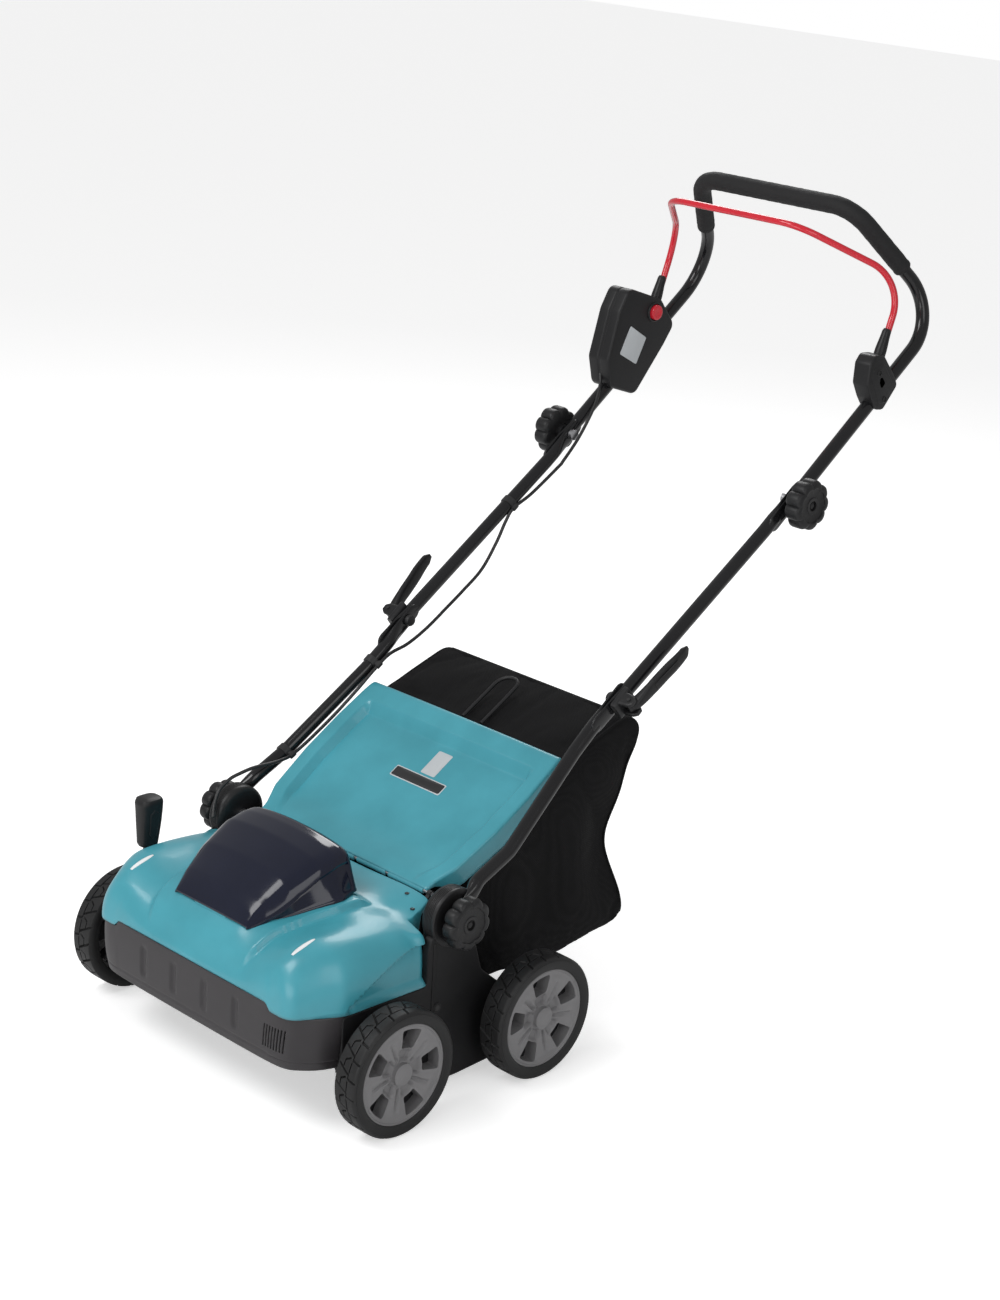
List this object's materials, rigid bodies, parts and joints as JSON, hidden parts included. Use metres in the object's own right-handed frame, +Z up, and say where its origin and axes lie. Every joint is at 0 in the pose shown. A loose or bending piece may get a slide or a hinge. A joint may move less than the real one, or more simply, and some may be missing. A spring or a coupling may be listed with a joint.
{
  "type": "lawn dethatcher",
  "caption": "Walk-behind battery lawn scarifier with a powered tine reel, raised rear chute, soft collection bag and a folding tube handle.",
  "frame": {"origin": "on the ground, at mid width, halfway between the front and rear axles", "axes": "+Z up, +Y to the rear (towards the operator), +X to the machine's left"},
  "size_m": [0.591, 1.1599, 1.0965],
  "materials": {
    "deck": "matte black moulded",
    "bumper": "satin dark grey moulded",
    "teal_shell": "satin teal moulded",
    "black_plastic": "matte black moulded",
    "cover": "dark glossy navy",
    "pack": "matte black",
    "board": "circuit board in a potting tray",
    "steel": "bare steel",
    "tine_steel": "spring steel",
    "motor_metal": "steel motor can",
    "drum_metal": "black coated extrusion",
    "tube_black": "gloss black powder coat",
    "foam": "matte foam",
    "red_rod": "glossy red",
    "red_button": "red moulded",
    "tyre": "matte black moulded tread",
    "rim": "satin mid grey moulded",
    "belt": "matte rubber",
    "cable": "matte cable sheath",
    "bag_fabric": "fine black woven fabric"
  },
  "bodies": {
    "chassis": {"deck_housing": "deck", "front_bumper": "bumper", "top_hood": "teal_shell", "handle_boss_left": "black_plastic", "handle_boss_right": "black_plastic", "base_bolts": "steel", "flap_hinge_rod": "steel", "battery_tray": "black_plastic", "battery_packs": "pack", "control_board": "board", "motor_housing": "motor_metal", "belt_cover": "black_plastic", "drive_belt": "belt", "reel_bearings": "steel", "rear_axle": "steel", "cable_deck": "cable"},
    "reel": {"reel_shaft": "steel", "reel_drum": "drum_metal", "reel_tines": "tine_steel", "driven_pulley": "black_plastic"},
    "motor_rotor": {"motor_rotor": "steel", "drive_pulley": "black_plastic"},
    "depth_adjuster": {"front_axle": "steel", "depth_lever": "tube_black", "depth_lever_grip": "black_plastic"},
    "wheel_front_left": {"tyre_front_left": "tyre", "rim_front_left": "rim"},
    "wheel_front_right": {"tyre_front_right": "tyre", "rim_front_right": "rim"},
    "wheel_rear_left": {"tyre_rear_left": "tyre", "rim_rear_left": "rim"},
    "wheel_rear_right": {"tyre_rear_right": "tyre", "rim_rear_right": "rim"},
    "chute_flap": {"chute_flap": "teal_shell"},
    "battery_cover": {"battery_cover": "cover"},
    "grass_bag": {"grass_bag": "bag_fabric", "bag_frame": "steel", "bag_handle_loop": "black_plastic"},
    "handle_lower": {"lower_tube_left": "tube_black", "lower_tube_right": "tube_black", "cam_blocks": "black_plastic", "cable_lower": "cable"},
    "cam_lever_left": {"cam_lever_left": "black_plastic"},
    "cam_lever_right": {"cam_lever_right": "black_plastic"},
    "base_knob_left": {"base_knob_left": "black_plastic"},
    "base_knob_right": {"base_knob_right": "black_plastic"},
    "handle_middle": {"middle_tube_left": "tube_black", "middle_tube_right": "tube_black", "upper_bolts": "steel", "cable_middle": "cable"},
    "upper_knob_left": {"upper_knob_left": "black_plastic"},
    "upper_knob_right": {"upper_knob_right": "black_plastic"},
    "handle_upper": {"upper_handle": "tube_black", "foam_grip": "foam", "switch_box": "black_plastic", "pivot_housing": "black_plastic", "cable_upper": "cable", "bail_switch": "black_plastic"},
    "bail": {"bail_bar": "red_rod"},
    "lock_button": {"lock_button": "red_button"}
  },
  "joints": [
    {"name": "reel_spin", "type": "hinge", "parent": "chassis", "child": "reel", "pos_m": [0, 0.005, 0.086], "axis": [1, 0, 0], "continuous": true},
    {"name": "motor_spin", "type": "hinge", "parent": "chassis", "child": "motor_rotor", "pos_m": [0, -0.165, 0.131], "axis": [1, 0, 0], "continuous": true},
    {"name": "depth_adjust", "type": "hinge", "parent": "chassis", "child": "depth_adjuster", "pos_m": [0, -0.158, 0.086], "axis": [1, 0, 0], "range_deg": [0, 30], "stiffness_Nm_per_rad": 20, "springref_deg": -22.92},
    {"name": "wheel_front_left_spin", "type": "hinge", "parent": "depth_adjuster", "child": "wheel_front_left", "pos_m": [0, -0.1262, 0.086], "axis": [1, 0, 0], "continuous": true},
    {"name": "wheel_front_right_spin", "type": "hinge", "parent": "depth_adjuster", "child": "wheel_front_right", "pos_m": [0, -0.1262, 0.086], "axis": [1, 0, 0], "continuous": true},
    {"name": "wheel_rear_left_spin", "type": "hinge", "parent": "chassis", "child": "wheel_rear_left", "pos_m": [0, 0.1262, 0.086], "axis": [1, 0, 0], "continuous": true},
    {"name": "wheel_rear_right_spin", "type": "hinge", "parent": "chassis", "child": "wheel_rear_right", "pos_m": [0, 0.1262, 0.086], "axis": [1, 0, 0], "continuous": true},
    {"name": "flap_hinge", "type": "hinge", "parent": "chassis", "child": "chute_flap", "pos_m": [0, 0.016, 0.255], "axis": [1, 0, 0], "range_deg": [0, 55]},
    {"name": "cover_hinge", "type": "hinge", "parent": "chassis", "child": "battery_cover", "pos_m": [0, -0.047, 0.257], "axis": [-1, 0, 0], "range_deg": [0, 70]},
    {"name": "bag_lift", "type": "slide", "parent": "chassis", "child": "grass_bag", "axis": [0, 0.9397, 0.3419], "range_m": [0, 0.35]},
    {"name": "handle_base", "type": "hinge", "parent": "chassis", "child": "handle_lower", "pos_m": [0, 0.012, 0.2405], "axis": [1, 0, 0], "range_deg": [-15, 30]},
    {"name": "cam_fold", "type": "hinge", "parent": "handle_lower", "child": "handle_middle", "pos_m": [0, 0.312, 0.47], "axis": [1, 0, 0], "range_deg": [0, 125]},
    {"name": "top_fold", "type": "hinge", "parent": "handle_middle", "child": "handle_upper", "pos_m": [0, 0.638, 0.7], "axis": [1, 0, 0], "range_deg": [-130, 0]},
    {"name": "cam_lever_left_open", "type": "hinge", "parent": "handle_lower", "child": "cam_lever_left", "pos_m": [0.238, 0.312, 0.47], "axis": [0, 0.6293, -0.7771], "range_deg": [0, 110]},
    {"name": "cam_lever_right_open", "type": "hinge", "parent": "handle_lower", "child": "cam_lever_right", "pos_m": [-0.238, 0.312, 0.47], "axis": [0, -0.6293, 0.7771], "range_deg": [0, 110]},
    {"name": "base_knob_left_turn", "type": "hinge", "parent": "handle_lower", "child": "base_knob_left", "pos_m": [0, 0.012, 0.2405], "axis": [1, 0, 0], "continuous": true},
    {"name": "base_knob_right_turn", "type": "hinge", "parent": "handle_lower", "child": "base_knob_right", "pos_m": [0, 0.012, 0.2405], "axis": [1, 0, 0], "continuous": true},
    {"name": "upper_knob_left_turn", "type": "hinge", "parent": "handle_middle", "child": "upper_knob_left", "pos_m": [0, 0.638, 0.7], "axis": [1, 0, 0], "continuous": true},
    {"name": "upper_knob_right_turn", "type": "hinge", "parent": "handle_middle", "child": "upper_knob_right", "pos_m": [0, 0.638, 0.7], "axis": [1, 0, 0], "continuous": true},
    {"name": "bail_squeeze", "type": "hinge", "parent": "handle_upper", "child": "bail", "pos_m": [0, 0.8, 0.85], "axis": [-1, 0, 0], "range_deg": [0, 16]},
    {"name": "button_press", "type": "slide", "parent": "handle_upper", "child": "lock_button", "axis": [-1, 0, 0], "range_m": [0, 0.004]}
  ],
  "couplings": [
    {"joint": "motor_spin", "follows": "reel_spin", "ratio": 2}
  ]
}
